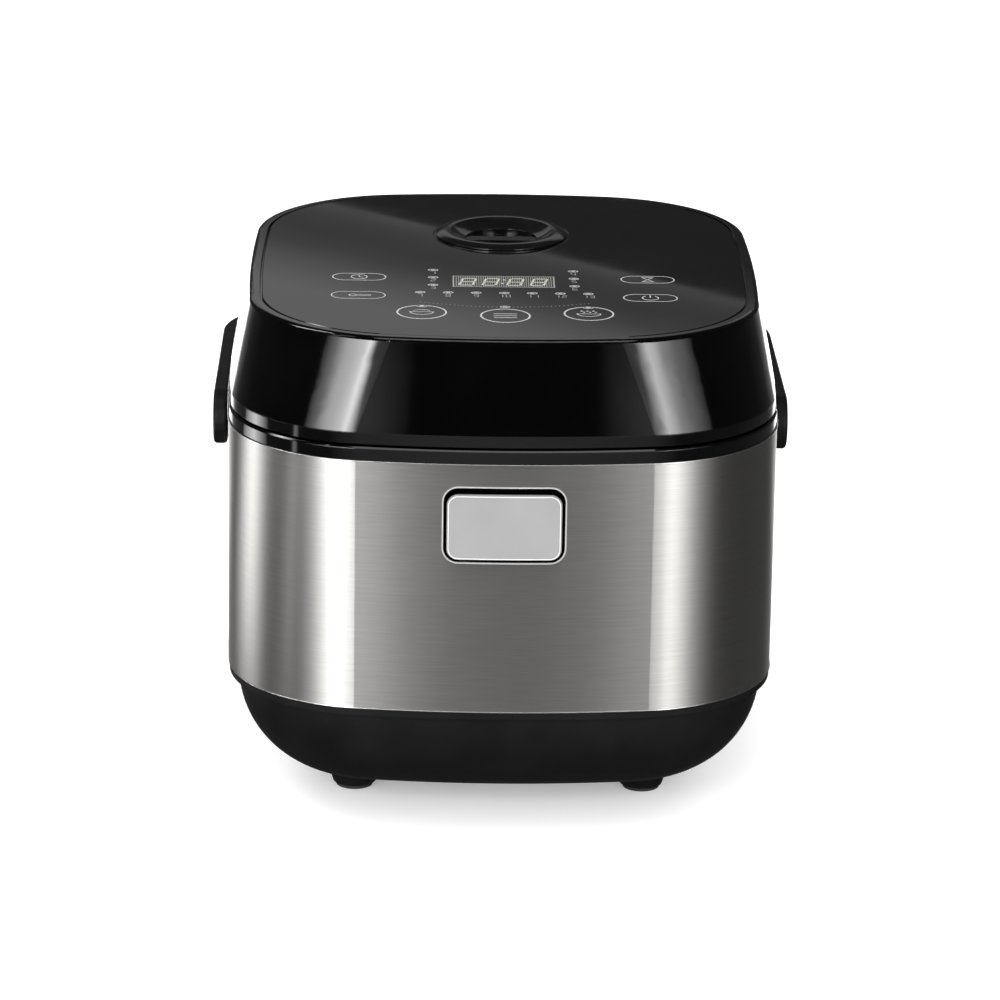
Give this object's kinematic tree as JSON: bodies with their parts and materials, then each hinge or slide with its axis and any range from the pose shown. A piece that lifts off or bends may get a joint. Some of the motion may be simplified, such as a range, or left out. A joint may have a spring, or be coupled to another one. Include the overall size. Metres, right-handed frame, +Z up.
{
  "type": "rice cooker",
  "caption": "Digital rice cooker: steel jacket, hinged black lid with touch panel and steam vent, lift-out pot on a sprung heater, push-button latch and folding handle.",
  "frame": {"origin": "the point on the surface that the cooker stands on, under the pot's axis", "axes": "+Z up along the pot's axis, -Y towards the front with the button, +X to the right seen from the front"},
  "size_m": [0.2866, 0.3313, 0.2491],
  "materials": {
    "jacket_steel": "brushed",
    "gloss_black": "gloss",
    "matte_black": "fine grain",
    "panel_glass": "polished, dark printed back",
    "silver_button": "satin silver",
    "rubber_black": "matte",
    "silicone": "matte",
    "pot_coating": "dark non-stick",
    "cast_aluminium": "as cast",
    "sheet_aluminium": "satin",
    "zinc_steel": "zinc plated",
    "pin_steel": "bright",
    "screw_steel": "plated",
    "contact_brass": "plated",
    "inner_plastic": "moulded",
    "liner_plastic": "moulded",
    "board_laminate": "solder mask",
    "part_plastic": "moulded",
    "terminal_plastic": "moulded",
    "wire_cover": "braided sleeve",
    "display_diffuser": "segments",
    "lamp_plastic": "clear"
  },
  "bodies": {
    "cooker_body": {"base_shell": "matte_black", "feet": "matte_black", "foot_pads": "rubber_black", "base_screws": "screw_steel", "outer_jacket": "jacket_steel", "upper_collar": "gloss_black", "collar_screws": "screw_steel", "inner_shell": "zinc_steel", "inner_pot": "pot_coating", "heating_plate": "cast_aluminium", "plate_screws": "screw_steel", "heating_element": "zinc_steel", "heater_leads": "wire_cover", "thermal_fuse": "zinc_steel", "sensor_bracket": "zinc_steel", "sensor_spring": "pin_steel", "power_board": "board_laminate", "board_screws": "screw_steel", "terminal_block": "terminal_plastic", "relay": "part_plastic", "transformer": "part_plastic", "capacitors": "part_plastic", "power_inlet": "inner_plastic", "inlet_pins": "contact_brass", "inlet_screws": "screw_steel", "button_housing": "inner_plastic", "button_springs": "pin_steel", "latch_pin": "pin_steel", "hinge_pin": "pin_steel", "hinge_spring": "pin_steel", "handle_brackets": "zinc_steel", "handle_pivots": "pin_steel", "handle_washers": "inner_plastic"},
    "lid": {"lid_cover": "gloss_black", "lid_frame": "gloss_black", "lid_screws": "screw_steel", "control_panel": "panel_glass", "control_board": "board_laminate", "control_screws": "screw_steel", "display_module": "display_diffuser", "indicator_leds": "lamp_plastic", "touch_springs": "pin_steel", "lid_liner": "liner_plastic", "lid_seal": "silicone", "lid_sensor": "sheet_aluminium", "vent_well": "inner_plastic", "lid_catch": "inner_plastic"},
    "inner_lid": {"inner_lid_plate": "sheet_aluminium", "plate_grommet": "silicone"},
    "steam_cap": {"vent_cap": "gloss_black", "vent_cup": "inner_plastic", "vent_seal": "silicone"},
    "handle": {"carry_handle": "matte_black"},
    "button": {"latch_button": "silver_button"},
    "latch": {"latch_lever": "inner_plastic"},
    "sensor": {"sensor_capsule": "sheet_aluminium"}
  },
  "joints": [
    {"name": "lid_hinge", "type": "hinge", "parent": "cooker_body", "child": "lid", "pos_m": [0, 0.1555, 0.198], "axis": [-1, 0, 0], "range_deg": [0, 90]},
    {"name": "handle_swing", "type": "hinge", "parent": "cooker_body", "child": "handle", "pos_m": [0, 0, 0.166], "axis": [1, 0, 0], "range_deg": [0, 90]},
    {"name": "button_press", "type": "slide", "parent": "cooker_body", "child": "button", "axis": [0, 1, 0], "range_m": [0, 0.003], "stiffness_N_per_m": 900, "springref_m": -0.003, "deforming": ["button_springs"]},
    {"name": "latch_pivot", "type": "hinge", "parent": "cooker_body", "child": "latch", "pos_m": [0, -0.137, 0.172], "axis": [1, 0, 0], "range_deg": [0, 8]},
    {"name": "vent_lift", "type": "slide", "parent": "lid", "child": "steam_cap", "axis": [0, 0, 1], "range_m": [0, 0.04]},
    {"name": "inner_lid_pull", "type": "slide", "parent": "lid", "child": "inner_lid", "axis": [0, 0, -1], "range_m": [0, 0.015]},
    {"name": "sensor_press", "type": "slide", "parent": "cooker_body", "child": "sensor", "axis": [0, 0, 1], "range_m": [-0.003, 0], "stiffness_N_per_m": 600, "springref_m": 0.004, "deforming": ["sensor_spring"]}
  ],
  "couplings": [
    {"joint": "latch_pivot", "follows": "button_press", "rad_per_m": 46}
  ]
}
